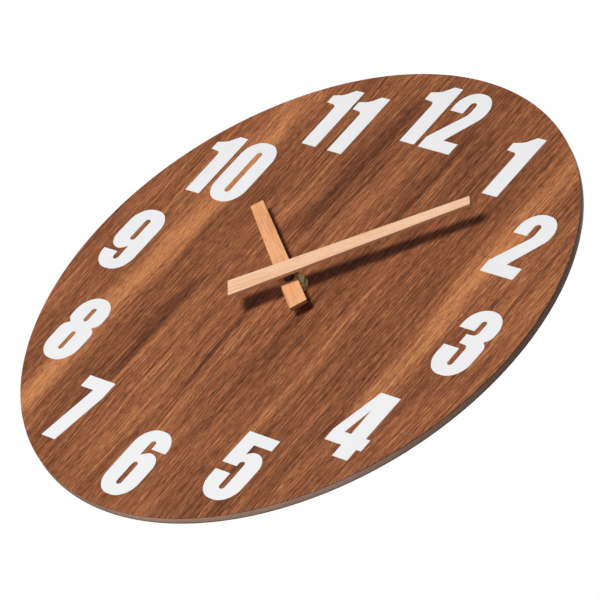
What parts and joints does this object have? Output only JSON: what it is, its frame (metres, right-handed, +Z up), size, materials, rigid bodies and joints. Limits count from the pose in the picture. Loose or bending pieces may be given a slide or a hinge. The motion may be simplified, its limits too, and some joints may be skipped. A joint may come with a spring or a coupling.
{
  "type": "wall clock",
  "caption": "Thin round wooden wall clock with white numerals, two tapered wooden hands and a battery quartz movement behind the dial.",
  "frame": {"origin": "centre of the wall hanger's hole, in the plane of the wall", "axes": "+Z up towards 12 o'clock, +Y into the wall, +X towards 3 o'clock as seen from the front; the dial faces -Y"},
  "size_m": [0.3, 0.0361, 0.3],
  "materials": {
    "walnut_face": "satin oiled",
    "walnut_back": "raw veneer",
    "core_board": "cut fibreboard edge",
    "numeral_print": "matte white",
    "pale_wood": "satin",
    "brass": "satin",
    "steel": "satin",
    "dark_steel": "blackened",
    "rubber": "matte",
    "case_black": "fine spark texture",
    "knob_plastic": "satin",
    "gear_plastic": "natural acetal",
    "bridge_plastic": "satin",
    "magnet": "sintered",
    "silicon_steel": "laminated",
    "copper_wire": "enamelled copper",
    "bobbin_plastic": "satin",
    "board_green": "solder mask",
    "resin": "gloss",
    "crystal_can": "bright",
    "battery_jacket": "plain printed jacket",
    "gear_black": "satin acetal"
  },
  "bodies": {
    "clock": {"dial_front_veneer": "walnut_face", "dial_rear_veneer": "walnut_back", "dial_core": "core_board", "fixing_nut": "brass", "washer": "brass", "threaded_stem": "brass", "rubber_gasket": "rubber", "wall_hanger": "steel", "front_case": "case_black", "rear_cover": "case_black", "train_bridge": "bridge_plastic", "stator": "silicon_steel", "coil_core": "silicon_steel", "coil_bobbin": "bobbin_plastic", "coil_winding": "copper_wire", "circuit_board": "board_green", "circuit_chip": "resin", "quartz_crystal": "crystal_can", "battery": "battery_jacket", "positive_contact": "brass", "negative_contact": "brass", "numeral_1": "numeral_print", "numeral_2": "numeral_print", "numeral_3": "numeral_print", "numeral_4": "numeral_print", "numeral_5": "numeral_print", "numeral_6": "numeral_print", "numeral_7": "numeral_print", "numeral_8": "numeral_print", "numeral_9": "numeral_print", "numeral_10": "numeral_print", "numeral_11": "numeral_print", "numeral_12": "numeral_print"},
    "minute": {"minute_arbor": "dark_steel", "minute_hand_bush": "dark_steel", "minute_hand": "pale_wood", "centre_wheel": "gear_plastic", "clutch_spring": "brass"},
    "hour": {"hour_wheel": "gear_black", "hour_hand_bush": "dark_steel", "hour_hand": "pale_wood"},
    "setting": {"setting_wheel": "gear_plastic", "setting_knob": "knob_plastic"},
    "third": {"third_wheel": "gear_plastic"},
    "second": {"second_wheel": "gear_plastic"},
    "intermediate": {"intermediate_wheel": "gear_plastic"},
    "rotor": {"rotor_pinion": "gear_plastic", "rotor_magnet": "magnet"}
  },
  "joints": [
    {"name": "minute_turn", "type": "hinge", "parent": "clock", "child": "minute", "pos_m": [0, 0, -0.037], "axis": [0, 1, 0], "continuous": true},
    {"name": "hour_turn", "type": "hinge", "parent": "clock", "child": "hour", "pos_m": [0, 0, -0.037], "axis": [0, 1, 0], "continuous": true},
    {"name": "setting_turn", "type": "hinge", "parent": "clock", "child": "setting", "pos_m": [0.00993, 0, -0.03875], "axis": [0, 1, 0], "continuous": true},
    {"name": "third_turn", "type": "hinge", "parent": "clock", "child": "third", "pos_m": [0.00468, 0, -0.02889], "axis": [0, 1, 0], "continuous": true},
    {"name": "second_turn", "type": "hinge", "parent": "clock", "child": "second", "pos_m": [0.00724, 0, -0.02187], "axis": [0, 1, 0], "continuous": true},
    {"name": "intermediate_turn", "type": "hinge", "parent": "clock", "child": "intermediate", "pos_m": [0.00048, 0, -0.02005], "axis": [0, 1, 0], "continuous": true},
    {"name": "rotor_turn", "type": "hinge", "parent": "clock", "child": "rotor", "pos_m": [-0.00578, 0, -0.02173], "axis": [0, 1, 0], "continuous": true}
  ],
  "couplings": [
    {"joint": "hour_turn", "follows": "minute_turn", "ratio": 0.083333},
    {"joint": "setting_turn", "follows": "minute_turn", "ratio": -0.33333},
    {"joint": "third_turn", "follows": "minute_turn", "ratio": -8},
    {"joint": "second_turn", "follows": "minute_turn", "ratio": 60},
    {"joint": "intermediate_turn", "follows": "minute_turn", "ratio": -360},
    {"joint": "rotor_turn", "follows": "minute_turn", "ratio": 1800}
  ]
}
